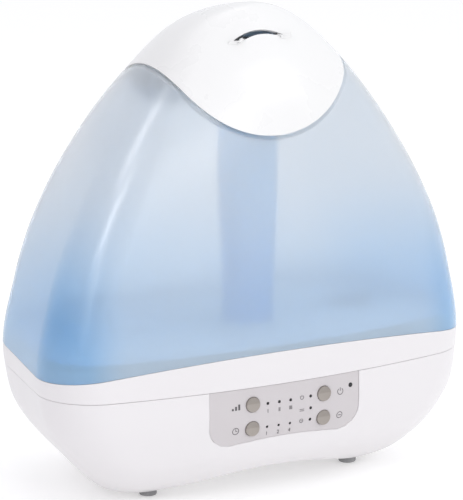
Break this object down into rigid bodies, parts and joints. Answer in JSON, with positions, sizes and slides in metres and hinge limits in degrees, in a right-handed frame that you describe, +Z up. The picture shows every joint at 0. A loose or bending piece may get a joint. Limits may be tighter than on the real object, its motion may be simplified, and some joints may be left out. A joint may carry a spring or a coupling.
{
  "type": "cool mist humidifier",
  "caption": "Ultrasonic cool mist humidifier: bowl-shaped base with front controls, lift-off translucent tank with inner mist duct, and a domed mist cap.",
  "frame": {"origin": "on the ground under the middle of the body", "axes": "+Z up through the crown, front with the control panel towards -Y, +X to the right seen from the front"},
  "size_m": [0.3178, 0.1743, 0.3299],
  "materials": {
    "white_shell": "satin moulded plastic, off-white",
    "tank_plastic": "frosted translucent plastic, pale blue",
    "duct_plastic": "translucent blue plastic",
    "panel_plastic": "fine-grained matt plastic, light grey",
    "button_plastic": "matt plastic, warm grey",
    "light_window": "dark smoked plastic, polished",
    "inner_plastic": "matt moulded plastic, unpainted",
    "grey_rubber": "matt rubber, grey",
    "circuit_board": "glass-fibre laminate, green lacquer",
    "coil": "enamelled copper winding",
    "aluminium": "plain extruded aluminium",
    "transducer_metal": "plated brass disc",
    "steel": "zinc-plated steel"
  },
  "bodies": {
    "base": {"lower_housing": "white_shell", "base_deck": "white_shell", "intake_grille": "inner_plastic", "cord_gland": "grey_rubber", "control_panel": "panel_plastic", "control_board": "circuit_board", "mode_light_1": "light_window", "timer_light_1": "light_window", "mode_light_2": "light_window", "timer_light_2": "light_window", "mode_light_3": "light_window", "timer_light_3": "light_window", "status_light_1": "light_window", "status_light_2": "light_window", "status_light_3": "light_window", "sensor_window": "light_window", "rubber_foot_1": "grey_rubber", "rubber_foot_2": "grey_rubber", "rubber_foot_3": "grey_rubber", "rubber_foot_4": "grey_rubber", "housing_screw_1": "steel", "housing_screw_2": "steel", "housing_screw_3": "steel", "housing_screw_4": "steel", "fan_housing": "inner_plastic", "air_duct": "inner_plastic", "main_board": "circuit_board", "transformer": "coil", "driver_heat_sink": "aluminium", "transducer_disc": "transducer_metal", "transducer_seal": "grey_rubber", "transducer_plate": "steel", "float_retainer": "inner_plastic"},
    "tank": {"tank_shell": "tank_plastic", "tank_floor": "tank_plastic", "mist_duct": "duct_plastic", "duct_seal": "grey_rubber"},
    "cap": {"top_cap": "white_shell", "mist_nozzle": "inner_plastic"},
    "fill_cap": {"fill_cap": "white_shell", "fill_cap_seal": "grey_rubber"},
    "valve": {"valve_stem": "inner_plastic", "valve_spring": "steel"},
    "float": {"float_ring": "inner_plastic"},
    "fan_wheel": {"fan_impeller": "inner_plastic"},
    "left_upper_button": {"left_upper_button": "button_plastic"},
    "left_lower_button": {"left_lower_button": "button_plastic"},
    "right_upper_button": {"right_upper_button": "button_plastic"},
    "right_lower_button": {"right_lower_button": "button_plastic"}
  },
  "joints": [
    {"name": "tank_lift", "type": "slide", "parent": "base", "child": "tank", "axis": [0, 0, 1], "range_m": [0, 0.15]},
    {"name": "cap_lift", "type": "slide", "parent": "tank", "child": "cap", "axis": [0, 0, 1], "range_m": [0, 0.08]},
    {"name": "fill_cap_turn", "type": "hinge", "parent": "tank", "child": "fill_cap", "pos_m": [0.092, -0.012, 0.097], "axis": [0, 0, 1], "range_deg": [0, 180]},
    {"name": "valve_slide", "type": "slide", "parent": "fill_cap", "child": "valve", "axis": [0, 0, 1], "range_m": [0, 0.005], "stiffness_N_per_m": 150},
    {"name": "float_rise", "type": "slide", "parent": "base", "child": "float", "axis": [0, 0, 1], "range_m": [0, 0.01]},
    {"name": "fan_spin", "type": "hinge", "parent": "base", "child": "fan_wheel", "pos_m": [0.018, 0.014, 0.034], "axis": [0, 0, 1], "continuous": true},
    {"name": "left_upper_button_press", "type": "slide", "parent": "base", "child": "left_upper_button", "axis": [0, 1, 0], "range_m": [0, 0.0012], "stiffness_N_per_m": 400},
    {"name": "left_lower_button_press", "type": "slide", "parent": "base", "child": "left_lower_button", "axis": [0, 1, 0], "range_m": [0, 0.0012], "stiffness_N_per_m": 400},
    {"name": "right_upper_button_press", "type": "slide", "parent": "base", "child": "right_upper_button", "axis": [0, 1, 0], "range_m": [0, 0.0012], "stiffness_N_per_m": 400},
    {"name": "right_lower_button_press", "type": "slide", "parent": "base", "child": "right_lower_button", "axis": [0, 1, 0], "range_m": [0, 0.0012], "stiffness_N_per_m": 400}
  ]
}
